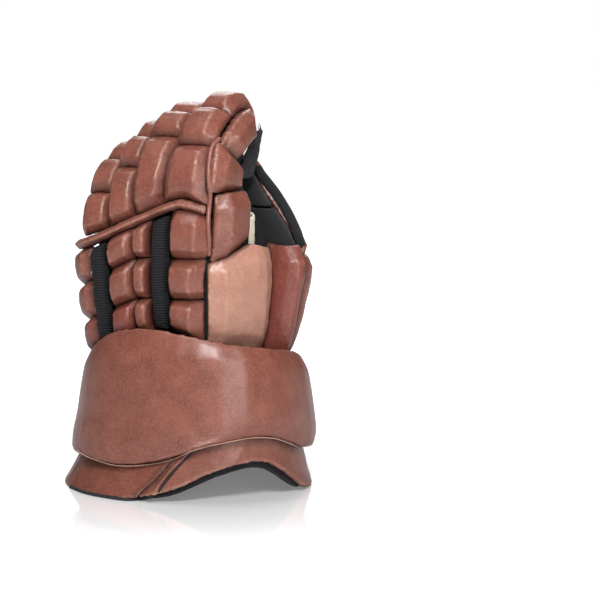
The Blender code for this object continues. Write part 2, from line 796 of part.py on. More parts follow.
def build_thumb():
    def ring(along, offset):
        return [thumb_place(step * 22.5, along, offset) for step in range(16)]

    for name, alongs in THUMB_STALL_PARTS:
        outer = [ring(along, 0.0) for along in alongs]
        inner = [ring(along, -STALL_WALL) for along in alongs]
        hollow_tube(name, outer, inner, BLACK, closed_end=name == "thumb_stall_tip")

    pieces = (
        # name, start_angle, end_angle, start_along, end_along
        ("thumb_side_roll", -66.0, 14.0, 0.0, 0.67),
        ("thumb_base_pad", 15.5, 178.0, 0.0, 0.60),
        ("thumb_flex_band", 55.0, 178.0, 0.605, 0.71),
        ("thumb_dome", 66.0, 178.0, 0.715, 1.80),
    )
    for name, start_angle, end_angle, start, end in pieces:

        def place(u, v, offset, start_angle=start_angle, end_angle=end_angle, start=start, end=end):
            angle = blend(start_angle, end_angle, u)
            low = max(start, thumb_above_cuff(angle))
            return thumb_place(angle, blend(low, end, v), offset)

        rows = {"thumb_side_roll": 6, "thumb_base_pad": 7, "thumb_flex_band": 2, "thumb_dome": 7}[name]
        columns = 6 if name == "thumb_side_roll" else 9
        pad(name, place, THUMB_PAD_THICKNESS, BROWN, columns=columns, rows=rows, edge=0.5)


def build_thumb_gusset():
    """Fabric from the palm to the edge of the thumb's base, on the palm side."""

    def place(u, v, offset):
        height = blend(THUMB_FOOT + 0.004, PALM_SEAM * KNUCKLE_HEIGHT, v)
        palm = hand_place(height, 2.46, PAD_GAP / 4.0)
        along = (height - THUMB_FOOT) / (THUMB_SHOULDER - THUMB_FOOT)
        thumb = thumb_place(186.0, along, -PAD_GAP / 2.0)
        thumb.z = height
        side = (thumb - palm).cross(Vector((0.0, 0.0, 1.0))).normalized()
        bulge = THUMB_GUSSET_BULGE * math.sin(math.pi * u)
        return palm.lerp(thumb, u) - side * (offset + bulge)

    pad("thumb_gusset", place, SUEDE_THICKNESS, BLACK, columns=5, rows=5, edge=0.8, roughness=0.85)


def build_index_flap(finger):
    """The loose flap of palm fabric that stands out beside the index finger's tip."""

    def place(u, v, offset):
        near = blend(-0.40, 0.085, v)
        far = blend(0.055, 0.365, v)
        height = finger.centre_z + CURL_RADIUS * blend(0.13, 0.73, v)
        y = finger.centre_y + CURL_RADIUS * blend(near, far, u)
        return Vector((finger.edges(height)[0] - PAD_GAP / 2.0 + offset, y, height))

    pad("index_palm_flap", place, SUEDE_THICKNESS, BLACK, columns=3, rows=5, edge=0.8, roughness=0.85)


# Cuff


def build_lining():
    angles = [step * 10.0 - 180.0 for step in range(36)]
    outer = []
    inner = []
    for share in (1.0, 0.62, 0.46, 0.30, 0.15, 0.0):
        outer_ring = []
        inner_ring = []
        for angle in angles:
            hem = cuff_edge(angle)[2]
            bottom = max(hem - LINING_SHOW, 0.0) + 0.001
            height = blend(bottom, LINING_TOP, share)
            outer_ring.append(cuff_place(angle, height, -FLARE_WALL - LAYER_GAP))
            inner_ring.append(cuff_place(angle, height, -FLARE_WALL - LAYER_GAP - LINING_WALL))
        outer.append(outer_ring)
        inner.append(inner_ring)
    hollow_tube("cuff_lining", outer, inner, BLACK, closed_end=False)


def crossing(centre, edge, outline):
    """The furthest share of the way from a centre to an edge at which an outline is crossed."""
    ray = edge - centre
    furthest = 0.0
    for index in range(len(outline)):
        side = outline[index] - outline[index - 1]
        reach = outline[index - 1] - centre
        turn = ray.cross(side)
        if turn and -0.01 <= reach.cross(ray) / turn <= 1.01:
            furthest = max(furthest, reach.cross(side) / turn)
    return furthest


def build_collar():
    """A membrane that closes the cuff's top round the pocket and under the thumb."""
    centre = Vector((HAND_MIDDLE_X, CUFF_CENTRE_Y))
    hole_top = LINING_TOP + SEAM + COLLAR_THICKNESS + COLLAR_RISE
    pocket = [hand_place(hole_top, step / 12.0, COLLAR_GAP).to_2d() for step in range(48)]
    thumb = [thumb_place(step * 22.5, 0.0, -STALL_WALL).to_2d() for step in range(16)]
    rims = []
    holes = []
    for side in (0.0, COLLAR_THICKNESS):
        rim = []
        hole = []
        for step in range(36):
            edge = cuff_place(step * 10.0 - 180.0, LINING_TOP + SEAM + side, 0.0)
            shares = [crossing(centre, edge.to_2d(), outline) for outline in (pocket, thumb)]
            inside = centre.lerp(edge.to_2d(), min(max(shares), 0.97))
            rim.append(edge)
            hole.append(Vector((inside.x, inside.y, edge.z + COLLAR_RISE)))
        rims.append(rim)
        holes.append(hole)
    hollow_tube("cuff_collar", rims, holes, BLACK, closed_end=False)


def cuff_piece(name, start, end, bottom, top, inner, outer, colour, columns, rows, lip=0.0):
    """A panel of the cuff. Start and end give angles at its foot and its top, and lip rounds its edges."""
    half_seam = 0.25

    def face(offset, rounded):
        def place(u, v):
            angle = blend(blend(*start, v) + half_seam, blend(*end, v) - half_seam, u)
            height = blend(bottom(angle), top(angle), v)
            depth = offset(v)
            if rounded:
                depth -= lip * abs(2.0 * v - 1.0) ** 6
            return cuff_place(angle, height, depth)

        return place

    block(name, face(inner, False), face(outer, True), colour, columns, rows)


def build_cuff():
    def hem(angle):
        return cuff_edge(angle)[2]

    def flare_top(angle):
        return FLARE_HEIGHT

    def lip(angle):
        return cuff_edge(angle)[1]

    def rim(angle):
        return cuff_edge(angle)[0]

    def skirt_inner(v):
        return -FLARE_WALL

    def skirt_outer(v):
        return 0.0

    def band_inner(v):
        return LAYER_GAP

    def band_outer(v):
        return blend(BAND_THICKNESS, BAND_RIM, v)

    skirts = (
        # name, start_angles, end_angles, columns
        ("flare_back", SKIRT_SPLIT, SKIRT_SEAM, 12),
        ("flare_thumb_side", SKIRT_SEAM, SKIRT_CORNER, 14),
        ("flare_palm", SKIRT_CORNER, [angle + 360.0 for angle in SKIRT_SPLIT], 16),
    )
    for name, start, end, columns in skirts:
        cuff_piece(name, start, end, hem, flare_top, skirt_inner, skirt_outer, BROWN, columns, 4)
    cuff_piece("cuff_band", *BAND_ENDS, lip, rim, band_inner, band_outer, BROWN, 30, 5, lip=0.005)
    lower = ("cuff_ulnar_pad_lower", lip, lambda angle: ULNAR_SPLIT)
    upper = ("cuff_ulnar_pad_upper", lambda angle: ULNAR_SPLIT + 2.0 * SEAM, rim)
    for name, bottom, top in (lower, upper):
        cuff_piece(name, *ULNAR_ENDS, bottom, top, band_inner, band_outer, BROWN, 8, 4, lip=0.004)


def stand_on_origin():
    """Moves the glove so that the middle of its box's bottom is the origin."""
    points = [obj.matrix_world @ vertex.co for obj in bpy.data.objects for vertex in obj.data.vertices]
    low = Vector([min(point[axis] for point in points) for axis in range(3)])
    high = Vector([max(point[axis] for point in points) for axis in range(3)])
    shift = Vector(((low.x + high.x) / 2.0, (low.y + high.y) / 2.0, low.z))
    for obj in bpy.data.objects:
        for vertex in obj.data.vertices:
            vertex.co -= shift


clear_scene()
build_lining()
build_collar()
build_cuff()
build_hand_pocket()
build_back_pads()
build_knuckle_welt()
build_side_guards()
build_palm()
FINGER_LIST = [Finger(row) for row in FINGERS]
for digit in FINGER_LIST:
    build_finger(digit)
build_index_side(FINGER_LIST[0])
build_index_flap(FINGER_LIST[0])
build_thumb()
build_thumb_gusset()
stand_on_origin()
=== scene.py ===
# %% [markdown]
# This lesson dresses a left-hand ice hockey glove. The solids of the glove come from a fixed frame, and
# every cell below turns some of them into what they are on the real thing: padded leather blocks, ribbed
# elastic, suede and black fabric. Nothing here changes the glove's size.

import json
import math

import bmesh
import bpy
from mathutils import Matrix, Vector, noise
from mathutils.bvhtree import BVHTree

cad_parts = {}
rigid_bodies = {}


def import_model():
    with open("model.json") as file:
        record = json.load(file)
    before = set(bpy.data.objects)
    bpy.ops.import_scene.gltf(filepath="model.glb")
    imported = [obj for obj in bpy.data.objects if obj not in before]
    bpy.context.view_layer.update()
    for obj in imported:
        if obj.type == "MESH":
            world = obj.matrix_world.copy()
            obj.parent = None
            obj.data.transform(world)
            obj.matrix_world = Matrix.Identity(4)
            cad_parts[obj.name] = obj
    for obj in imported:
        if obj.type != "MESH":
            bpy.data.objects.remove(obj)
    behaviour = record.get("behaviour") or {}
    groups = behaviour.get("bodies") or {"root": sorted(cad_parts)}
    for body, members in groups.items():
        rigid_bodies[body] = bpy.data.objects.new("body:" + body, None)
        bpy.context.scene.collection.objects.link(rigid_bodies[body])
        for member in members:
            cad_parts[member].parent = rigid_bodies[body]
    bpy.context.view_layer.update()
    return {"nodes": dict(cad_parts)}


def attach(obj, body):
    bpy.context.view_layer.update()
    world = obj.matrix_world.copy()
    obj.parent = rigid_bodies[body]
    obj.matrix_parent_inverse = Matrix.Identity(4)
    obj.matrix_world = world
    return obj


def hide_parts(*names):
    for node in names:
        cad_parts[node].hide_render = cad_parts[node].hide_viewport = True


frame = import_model()

# %% [markdown]
# The camera looks at the back of the hand from its thumb side, a little from above, through a long lens.
# A long lens keeps the glove's sides nearly parallel, as they are in a product photograph. The lens
# shift moves the glove to the left of the picture without turning the view.

# %% Camera
VIEW_AZIMUTH = math.radians(30.0)
VIEW_ELEVATION = math.radians(8.5)
VIEW_DISTANCE = 1.8
METRES_PER_PIXEL = 0.00082
PICTURE_PIXELS = 600
SENSOR_MILLIMETRES = 36.0
AIM_POINT = Vector((0.0, 0.0, 0.155))
AIM_PIXEL = (190.4, 296.65)


def way_out(azimuth, elevation):
    """The way from the glove towards a place around it. Azimuth 0 is straight in front of its back."""
    level = math.cos(elevation)
    return Vector((math.sin(azimuth) * level, -math.cos(azimuth) * level, math.sin(elevation)))


def set_up(name, data, way, distance):
    """A camera or lamp that stands a distance from the glove and looks at it."""
    stand = bpy.data.objects.new(name, data)
    stand.location = AIM_POINT + way * distance
    stand.rotation_euler = way.to_track_quat("Z", "Y").to_euler()
    bpy.context.scene.collection.objects.link(stand)
    return stand


camera_data = bpy.data.cameras.new("studio_camera")
camera_data.sensor_width = SENSOR_MILLIMETRES
camera_data.lens = VIEW_DISTANCE * SENSOR_MILLIMETRES / PICTURE_PIXELS / METRES_PER_PIXEL
camera_data.shift_x = (PICTURE_PIXELS / 2 - AIM_PIXEL[0]) / PICTURE_PIXELS
camera_data.shift_y = (AIM_PIXEL[1] - PICTURE_PIXELS / 2) / PICTURE_PIXELS
camera = set_up("studio_camera", camera_data, way_out(VIEW_AZIMUTH, VIEW_ELEVATION), VIEW_DISTANCE)
bpy.context.scene.camera = camera
print("lens", round(camera_data.lens, 1), "mm")

# %% [markdown]
# Four soft lamps light the glove. The key lamp models the pads, a narrow upright lamp on the thumb side
# draws the glint down the cuff band, one above shows the tops of the rolls, and one behind lights the
# palm for a viewer who walks round. Area lamps are used, since their size sets how soft a glint is.

# %% Lamps
LAMPS = (
    # name, azimuth, elevation, distance, width, height, power
    ("key_lamp", 30.0, 38.0, 1.3, 0.30, 0.30, 19.0),
    ("glint_lamp", 52.0, 10.0, 1.2, 0.09, 0.80, 6.0),
    ("top_lamp", 10.0, 78.0, 1.2, 0.50, 0.50, 7.0),
    ("palm_lamp", 205.0, 40.0, 1.4, 0.60, 0.60, 7.0),
)
for lamp_name, azimuth, elevation, distance, width, height, power in LAMPS:
    lamp_data = bpy.data.lights.new(lamp_name, "AREA")
    lamp_data.shape = "RECTANGLE"
    lamp_data.size = width
    lamp_data.size_y = height
    lamp_data.energy = power
    set_up(lamp_name, lamp_data, way_out(math.radians(azimuth), math.radians(elevation)), distance)
print(len(LAMPS), "lamps")

# %% [markdown]
# The world and every finish are small networks of nodes. The helpers add a node, set its plain values and
# link its sockets, so that each network reads as a short recipe. All patterns follow Object coordinates:
# the pieces never move in their own space, so the grain stays put.

# %% Node helpers
WHITE = (1.0, 1.0, 1.0, 1.0)
BLACK = (0.0, 0.0, 0.0, 1.0)


class Nodes:
    """A node tree, and short ways to add to it."""

    def __init__(self, tree):
        self.tree = tree

    def fill(self, node, inputs):
        """Sets inputs by name or number: a node's output is linked, and a plain value is stored."""
        for key, value in inputs.items():
            if isinstance(value, bpy.types.NodeSocket):
                self.tree.links.new(value, node.inputs[key])
            else:
                node.inputs[key].default_value = value

    def add(self, kind, inputs=None, **settings):
        node = self.tree.nodes.new(kind)
        for key, value in settings.items():
            setattr(node, key, value)
        self.fill(node, inputs or {})
        return node

    def maths(self, operation, *values):
        return self.add("ShaderNodeMath", dict(enumerate(values)), operation=operation).outputs[0]

    def rescale(self, value, start=0.0, end=1.0, low=0.0, high=1.0):
        """A value's range from start to end, moved to the range from low to high."""
        ends = {"From Min": start, "From Max": end, "To Min": low, "To Max": high}
        return self.add("ShaderNodeMapRange", {"Value": value, **ends}).outputs["Result"]

    def blend(self, share, first, second):
        """Two shaders in one: a share of 0 is all the first."""
        return self.add("ShaderNodeMixShader", {0: share, 1: first, 2: second}).outputs[0]


class Recipe(Nodes):
    """A material and its nodes, with one shader."""

    def __init__(self, name):
        self.material = bpy.data.materials.new(name)
        self.material.use_nodes = True
        super().__init__(self.material.node_tree)
        self.shader = self.tree.nodes["Principled BSDF"]
        self.place = self.add("ShaderNodeTexCoord").outputs["Object"]

    def noise(self, scale, detail=4.0, roughness=0.55):
        inputs = {"Vector": self.place, "Scale": scale, "Detail": detail, "Roughness": roughness}
        return self.add("ShaderNodeTexNoise", inputs).outputs["Fac"]

    def ramp(self, socket, stops):
        """A colour ramp: stops are pairs of a place and a colour."""
        node = self.add("ShaderNodeValToRGB", {"Fac": socket})
        elements = node.color_ramp.elements
        while len(elements) < len(stops):
            elements.new(0.5)
        for element, (place, colour) in zip(elements, stops):
            element.position = place
            element.color = colour
        return node.outputs["Color"]

    def mix(self, share, first, second):
        """Two colours in one. The colour sockets of this node are known by number only."""
        return self.add("ShaderNodeMix", {0: share, 6: first, 7: second}, data_type="RGBA").outputs[2]

    def attribute(self, name):
        return self.add("ShaderNodeAttribute", attribute_name=name).outputs["Fac"]

    def finish(self, colour, roughness, relief, specular=0.5, sheen=0.0):
        """Feeds the shader. Relief is pairs of a height and a depth in metres, each over the last."""
        normal = {}
        for height, depth in relief:
            inputs = {"Height": height, "Distance": depth, "Strength": 1.0, **normal}
            normal = {"Normal": self.add("ShaderNodeBump", inputs).outputs["Normal"]}
        looks = {"Base Color": colour, "Roughness": roughness, "Specular IOR Level": specular}
        self.fill(self.shader, {**looks, "Sheen Weight": sheen, **normal})
        return self.material


# %% [markdown]
# The background is white, but a room that white would wash the leather out. So only the camera sees the
# full white, and the glove is lit by a dimmer room. Mirror rays see a dimmer room still, apart from a
# bright card behind the glove, which gives the table's mirror its white.

# %% World
ROOM_LIGHT = 0.25
ROOM_IN_MIRROR = 0.3
CARD_STARTS, CARD_FULL = 0.86, 0.96

world = bpy.data.worlds.new("white_studio")
world.use_nodes = True
sky = Nodes(world.node_tree)
ray = sky.add("ShaderNodeLightPath").outputs
sky_way = sky.add("ShaderNodeTexCoord").outputs["Generated"]
away = (-math.sin(VIEW_AZIMUTH), math.cos(VIEW_AZIMUTH), 0.0)
behind = sky.add("ShaderNodeVectorMath", {0: sky_way, 1: away}, operation="DOT_PRODUCT").outputs["Value"]
card = sky.maths("MULTIPLY", sky.rescale(behind, CARD_STARTS, CARD_FULL), ray["Is Glossy Ray"])
room_strength = sky.rescale(ray["Is Glossy Ray"], low=ROOM_LIGHT, high=ROOM_LIGHT * ROOM_IN_MIRROR)
room = sky.add("ShaderNodeBackground", {"Color": WHITE, "Strength": room_strength})
backdrop = sky.tree.nodes["Background"]
sky.fill(backdrop, {"Color": WHITE, "Strength": 1.0})
white_share = sky.maths("MAXIMUM", ray["Is Camera Ray"], card)
surface = sky.blend(white_share, room.outputs[0], backdrop.outputs[0])
sky.fill(sky.tree.nodes["World Output"], {"Surface": surface})
bpy.context.scene.world = world
bpy.context.scene.view_settings.view_transform = "Standard"
print("room light", ROOM_LIGHT)

# %% [markdown]
# The glove stands on a glossy white table. Close to the glove a soft mirror shows its reflection. Further
# out the mirror fades and the table glows a little more, until it is as white as the background and no
# edge is seen. The table counts as a stage and not as a piece of the glove.

# %% Table
TABLE_RADIUS = 3.0
TABLE_WHITE = (0.75, 0.76, 0.77, 1.0)
GLOW_OFF_CAMERA = 0.2

table_mesh = bpy.data.meshes.new("white_table")
table_form = bmesh.new()
bmesh.ops.create_circle(table_form, cap_ends=True, radius=TABLE_RADIUS, segments=64)
table_form.to_mesh(table_mesh)
table_form.free()
table = bpy.data.objects.new("white_table", table_mesh)
bpy.context.scene.collection.objects.link(table)

gloss = Recipe("table_gloss")
reach = gloss.add("ShaderNodeVectorMath", {0: gloss.place}, operation="LENGTH").outputs["Value"]
mirror_share = gloss.rescale(reach, 0.10, 0.42, low=0.55, high=0.0)
camera_ray = gloss.add("ShaderNodeLightPath").outputs["Is Camera Ray"]
glow = gloss.maths(
    "MULTIPLY",
    gloss.rescale(reach, 0.15, 0.70, low=0.40, high=1.0),
    gloss.rescale(camera_ray, low=GLOW_OFF_CAMERA),
)
gloss.fill(gloss.shader, {"Emission Color": WHITE, "Emission Strength": glow})
gloss.finish(TABLE_WHITE, roughness=0.9, relief=(), specular=0.0)
mirror = gloss.add("ShaderNodeBsdfGlossy", {"Color": WHITE, "Roughness": 0.07})
both = gloss.blend(mirror_share, gloss.shader.outputs[0], mirror.outputs[0])
gloss.fill(gloss.tree.nodes["Material Output"], {"Surface": both})
table_mesh.materials.append(gloss.material)
print("table", TABLE_RADIUS, "m in radius")

# %% [markdown]
# The leather is a brown that has been waxed: its tone wanders between a red brown and a tan, and its grain
# is a net of tiny creases. It is paler where an edge is rounded out, which is partly wear and partly a
# painted highlight, and darker in the folds and beside the seams, which is painted shade. The paler and
# darker places come from attributes that each padded piece gets when its shape is made, so they follow the
# real edges and seams. A paler mix of the same recipe is for the side guard, and a darker one for three of
# the blocks.

# %% Leather
CLOUD_STOPS = (0.15, 0.50, 0.85)
# The tint below sets the colour of the painted shade in folds and beside seams; the shares after it set
# how much speckle, how much edge wear with painted highlight, and how much of each painted shade the
# leather gets.
SHADE_TINT = (0.22, 0.16, 0.16)
SPECK_SHARE = 0.22
WORN_AND_HIGHLIGHT_SHARE = 0.6
FOLD_SHADE_SHARE = 0.65
SEAM_SHADE_SHARE = 0.92
GRAIN_DEPTH = 0.00012
CREASE_DEPTH = 0.00035
DENT_DEPTH = 0.0009
SMOOTHEST = 0.29
CREASE_ROUGHNESS = 0.22


def leather(name, deep, middle, pale, rubbed_and_highlight):
    recipe = Recipe(name)
    clouds = recipe.noise(55.0, detail=6.0, roughness=0.65)
    colours = [(*colour, 1.0) for colour in (deep, middle, pale)]
    tone = recipe.ramp(clouds, list(zip(CLOUD_STOPS, colours)))

    specks = recipe.ramp(recipe.noise(620.0, detail=3.0, roughness=0.7), ((0.45, BLACK), (0.75, WHITE)))
    tone = recipe.mix(recipe.maths("MULTIPLY", specks, SPECK_SHARE), tone, (*rubbed_and_highlight, 1.0))
    # Rounded-out edges turn towards the tan: partly wear, partly a painted highlight.
    patches = recipe.maths("ADD", recipe.noise(95.0, roughness=0.65), 0.1)
    worn_and_highlight = recipe.maths("MULTIPLY", recipe.attribute("rub"), patches)
    tone = recipe.mix(recipe.maths("MULTIPLY", worn_and_highlight, WORN_AND_HIGHLIGHT_SHARE), tone, (*rubbed_and_highlight, 1.0))

    # Folds and places beside other solids are darkened towards this colour: painted shade.
    shade = (*(part * tint for part, tint in zip(deep, SHADE_TINT)), 1.0)
    for shade_mask_name, share in (("fold", FOLD_SHADE_SHARE), ("seam", SEAM_SHADE_SHARE)):
        tone = recipe.mix(recipe.maths("MULTIPLY", recipe.attribute(shade_mask_name), share), tone, shade)

    cells = recipe.add(
        "ShaderNodeTexVoronoi", {"Vector": recipe.place, "Scale": 900.0}, feature="DISTANCE_TO_EDGE"
    )
    creases = recipe.noise(150.0, detail=6.0, roughness=0.7)
    dents = recipe.noise(38.0, detail=3.0, roughness=0.5)
    roughness = recipe.maths("ADD", recipe.maths("MULTIPLY", creases, CREASE_ROUGHNESS), SMOOTHEST)
    relief = ((cells.outputs["Distance"], GRAIN_DEPTH), (creases, CREASE_DEPTH), (dents, DENT_DEPTH))
    recipe.fill(recipe.shader, {"Coat Weight": 0.16, "Coat Roughness": 0.24})
    return recipe.finish(tone, roughness, relief, specular=0.32)


# The last colour of each leather is the tan of its specks, and of its worn edges with their painted
# highlight.
BROWN_LEATHER = leather(
    "brown_leather",
    deep=(0.092, 0.024, 0.016),
    middle=(0.140, 0.042, 0.028),
    pale=(0.195, 0.066, 0.046),
    rubbed_and_highlight=(0.400, 0.205, 0.145),
)
PALE_LEATHER = leather(
    "pale_leather",
    deep=(0.200, 0.082, 0.056),
    middle=(0.275, 0.130, 0.092),
    pale=(0.350, 0.182, 0.132),
    rubbed_and_highlight=(0.520, 0.330, 0.245),
)
DARK_LEATHER = leather(
    "dark_leather",
    deep=(0.085, 0.018, 0.013),
    middle=(0.125, 0.030, 0.022),
    pale=(0.170, 0.048, 0.034),
    rubbed_and_highlight=(0.340, 0.140, 0.095),
)
print("leathers ready")

# %% [markdown]
# The other cloths are plainer. Black fabric has a fine weave, the elastic ribbon has ribs across it every
# two millimetres, and suede has a soft nap with worn darker clouds. Each is matt, with a little sheen,
# because loose fibres catch the light at a grazing view.

# %% Fabrics
CLOTH_SPECULAR = 0.15


def woven(name, dark, light, threads):
    """A weave whose threads cross. The more threads, the finer it is."""
    recipe = Recipe(name)
    split = recipe.add("ShaderNodeSeparateXYZ", {"Vector": recipe.place}).outputs
    level = recipe.maths("ADD", split["X"], split["Y"])
    across = recipe.maths("SINE", recipe.maths("MULTIPLY", split["Z"], threads))
    along = recipe.maths("SINE", recipe.maths("MULTIPLY", level, threads))
    weave = recipe.maths("MULTIPLY", across, along)
    clouds = recipe.noise(60.0)
    tone = recipe.mix(clouds, (*dark, 1.0), (*light, 1.0))
    relief = ((weave, 0.00012), (clouds, 0.0012))
    return recipe.finish(tone, roughness=0.78, relief=relief, specular=CLOTH_SPECULAR, sheen=0.05)


def ribbed(name, dark, light, rib_pitch):
    """Level ribs that wander a little, one every rib_pitch in metres."""
    recipe = Recipe(name)
    height = recipe.add("ShaderNodeSeparateXYZ", {"Vector": recipe.place}).outputs["Z"]
    wobble = recipe.maths("MULTIPLY", recipe.noise(70.0), 0.0012)
    turns = recipe.maths("MULTIPLY", recipe.maths("ADD", height, wobble), math.tau / rib_pitch)
    rib = recipe.maths("SINE", turns)
    rib_share = recipe.maths("ADD", recipe.maths("MULTIPLY", rib, 0.5), 0.5)
    tone = recipe.mix(rib_share, (*dark, 1.0), (*light, 1.0))
    relief = ((rib, 0.0006), (recipe.noise(900.0), 0.0002))
    return recipe.finish(tone, roughness=0.7, relief=relief, specular=CLOTH_SPECULAR, sheen=0.04)


def suede(name, dark, light):
    recipe = Recipe(name)
    clouds = recipe.noise(40.0, detail=6.0, roughness=0.65)
    nap = recipe.noise(1500.0, detail=2.0)
    tone = recipe.ramp(clouds, ((0.32, (*dark, 1.0)), (0.62, (*light, 1.0))))
    tone = recipe.mix(recipe.maths("MULTIPLY", nap, 0.25), tone, (*dark, 1.0))
    return recipe.finish(tone, roughness=0.92, relief=((nap, 0.0002), (clouds, 0.0015)), sheen=0.35)


BLACK_FABRIC = woven("black_fabric", (0.006, 0.006, 0.007), (0.016, 0.016, 0.018), 5200.0)
BLACK_ELASTIC = ribbed("black_elastic", (0.004, 0.004, 0.005), (0.013, 0.013, 0.016), 0.0021)
CREAM_SUEDE = suede("cream_suede", (0.480, 0.420, 0.290), (0.660, 0.610, 0.460))
GREY_SUEDE = suede("grey_suede", (0.095, 0.080, 0.064), (0.165, 0.142, 0.115))
BLACK_EDGING = woven("black_edging", (0.010, 0.010, 0.011), (0.022, 0.022, 0.024), 3000.0)
STITCH_THREAD = woven("stitch_thread", (0.115, 0.045, 0.032), (0.240, 0.120, 0.085), 9000.0)
RAW_EDGE = suede("raw_leather_edge", (0.200, 0.095, 0.065), (0.340, 0.190, 0.130))
print("fabrics ready")

# %% [markdown]
# Every piece starts as a copy of a solid's mesh. The solids are loose triangles, so the copy's doubled
# points are merged and its triangles joined into quads before modifiers work on it.

# %% Copies of the solids
MERGE_DISTANCE = 0.00002


def solid_copy(node):
    """A closed copy of a solid's mesh with merged points and quads where its triangles pair up."""
    form = bmesh.new()
    form.from_mesh(bpy.data.objects[node].data)
    bmesh.ops.remove_doubles(form, verts=form.verts, dist=MERGE_DISTANCE)
    bmesh.ops.join_triangles(
        form,
        faces=form.faces,
        angle_face_threshold=math.radians(50.0),
        angle_shape_threshold=math.radians(60.0),
    )
    return form


def finished(piece_name, form, modifiers):
    """Runs modifiers over a bmesh and gives the result as a new bmesh."""
    rough_mesh = bpy.data.meshes.new(piece_name + "_rough")
    form.to_mesh(rough_mesh)
    form.free()
    rough = bpy.data.objects.new(piece_name + "_rough", rough_mesh)
    bpy.context.scene.collection.objects.link(rough)
    for kind, settings in modifiers:
        modifier = rough.modifiers.new(kind.lower(), kind)
        for key, value in settings.items():
            setattr(modifier, key, value)
    graph = bpy.context.evaluated_depsgraph_get()
    result = bmesh.new()
    result.from_object(rough, graph)
    bpy.data.objects.remove(rough)
    bpy.data.meshes.remove(rough_mesh)
    return result


# %% [markdown]
# Real leather isn't smooth: it puckers beside its seams and dents over its foam. The first helper measures
# where a surface is rounded out or folded in, the second moves the points by noise, and the third
# stretches a block's lower half down, so that its foot goes behind the cuff's rim.

# %% Surface helpers
NOISE_SMOOTHNESS = 0.7
NOISE_STEP = 2.2
NOISE_OCTAVES = 4
SEED_STRIDE = (3.1, 1.7, 0.9)


def hollowness(form, rounds):
    """How far each point stands in from its neighbours' plane, spread a few times over the surface."""
    form.verts.index_update()
    bend = []
    for vert in form.verts:
        around = [edge.other_vert(vert).co for edge in vert.link_edges]
        reach = sum((co - vert.co).length for co in around) / len(around)
        middle = sum(around, Vector()) / len(around)
        bend.append((middle - vert.co).dot(vert.normal) / (reach * reach + 1e-9))
    nearby = [[edge.other_vert(vert).index for edge in vert.link_edges] for vert in form.verts]
    for _ in range(rounds):
        spread = [sum(bend[index] for index in near) / len(near) for near in nearby]
        bend = [0.5 * value + 0.5 * mean for value, mean in zip(bend, spread)]
    return bend


def wrinkle(form, depth, length, seed, mask=None):
    """Moves points along their normals by noise. A mask of 0 to 1 keeps some of them still."""
    offset = Vector([seed * stride for stride in SEED_STRIDE])
    shifts = []
    for index, vert in enumerate(form.verts):
        spot = vert.co / length + offset
        height = noise.fractal(spot, NOISE_SMOOTHNESS, NOISE_STEP, NOISE_OCTAVES) * depth
        shifts.append(height * (mask[index] if mask else 1.0))
    for vert, shift in zip(form.verts, shifts):
        vert.co += vert.normal * shift


def lower_foot(form, drop):
    """Stretches the lower half of a form down, and its foot the most."""
    foot = min(vert.co.z for vert in form.verts)
    half_height = (max(vert.co.z for vert in form.verts) - foot) / 2.0
    for vert in form.verts:
        vert.co.z -= drop * max(0.0, 1.0 - (vert.co.z - foot) / half_height)


# %% [markdown]
# Each finished shape becomes an object that rides on the glove and replaces its solid. It also gets three
# attributes for the leather's colour: one where an edge is rounded out, for wear and a painted highlight,
# one where it is folded in, and one where another solid is close, both for painted shade. A search tree
# over the other solids gives the last one.

# %% Pieces
# The mask of wear and painted highlight on rounded-out edges starts past these bends; the same edge scale
# also gathers the pads' puckers.
EDGE_BEND = 150.0
RUB_AND_HIGHLIGHT_STARTS = 0.25
# The masks of painted shade: in folds past these bends, and within a reach of other solids.
FOLD_SHADE_BEND = 110.0
FOLD_SHADE_STARTS = 0.2
SEAM_SHADE_REACH = 0.0065
SEAM_SHADE_FADE = 1.2


def clamp(value):
    return min(max(value, 0.0), 1.0)


def search_tree(objects):
    """A search tree over the faces of some objects."""
    points, faces = [], []
    for item in objects:
        base = len(points)
        points += [vert.co.copy() for vert in item.data.vertices]
        faces += [[base + index for index in polygon.vertices] for polygon in item.data.polygons]
    return BVHTree.FromPolygons(points, faces)


def add_piece(piece_name, form, material, slot_name, *nodes):
    """Makes a bmesh into a smooth object that rides on the glove and replaces its solids."""
    mesh = bpy.data.meshes.new(piece_name)
    form.normal_update()
    rub_and_highlight_layer = form.verts.layers.float.new("rub")
    fold_shade_layer = form.verts.layers.float.new("fold")
    seam_shade_layer = form.verts.layers.float.new("seam")
    bend = hollowness(form, 3)
    others = search_tree(bpy.data.objects[name] for name in frame["nodes"] if name not in nodes)
    # Rounded-out points get the mask of wear and painted highlight; folded-in points and points near other
    # solids get the masks of painted shade.
    for vert, value in zip(form.verts, bend):
        vert.co.z = max(vert.co.z, 0.0)
        vert[rub_and_highlight_layer] = clamp(-value / EDGE_BEND - RUB_AND_HIGHLIGHT_STARTS)
        vert[fold_shade_layer] = clamp(value / FOLD_SHADE_BEND - FOLD_SHADE_STARTS)
        distance = others.find_nearest(vert.co, SEAM_SHADE_REACH)[3] if nodes else None
        vert[seam_shade_layer] = 0.0 if distance is None else (1.0 - distance / SEAM_SHADE_REACH) ** SEAM_SHADE_FADE
    for face in form.faces:
        face.smooth = True
    form.to_mesh(mesh)
    form.free()
    mesh.materials.append(material)
    piece = bpy.data.objects.new(piece_name, mesh)
    bpy.context.scene.collection.objects.link(piece)
    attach(piece, "root")
    if nodes:
        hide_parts(*nodes)
    return piece


# %% [markdown]
# A padded block is foam in a leather skin. The skin is drawn tight over the foam and turned in at its
# edges, so each block has nearly flat faces, round edges, and small puckers beside its seams. The solid is
# remeshed into a fine even grid, and a few rounds of smoothing round its edges. Then the points are moved
# out a little, and by noise. The pads could be blown up by a cloth simulation instead, but the blocks here
# are boxy and tight, so this comes closer to them.

# %% Padding helper
PUFF = 0.0007
PUCKER_DEPTH = 0.7
PUCKER_LENGTH = 0.35
FACE_WRINKLE = 0.25


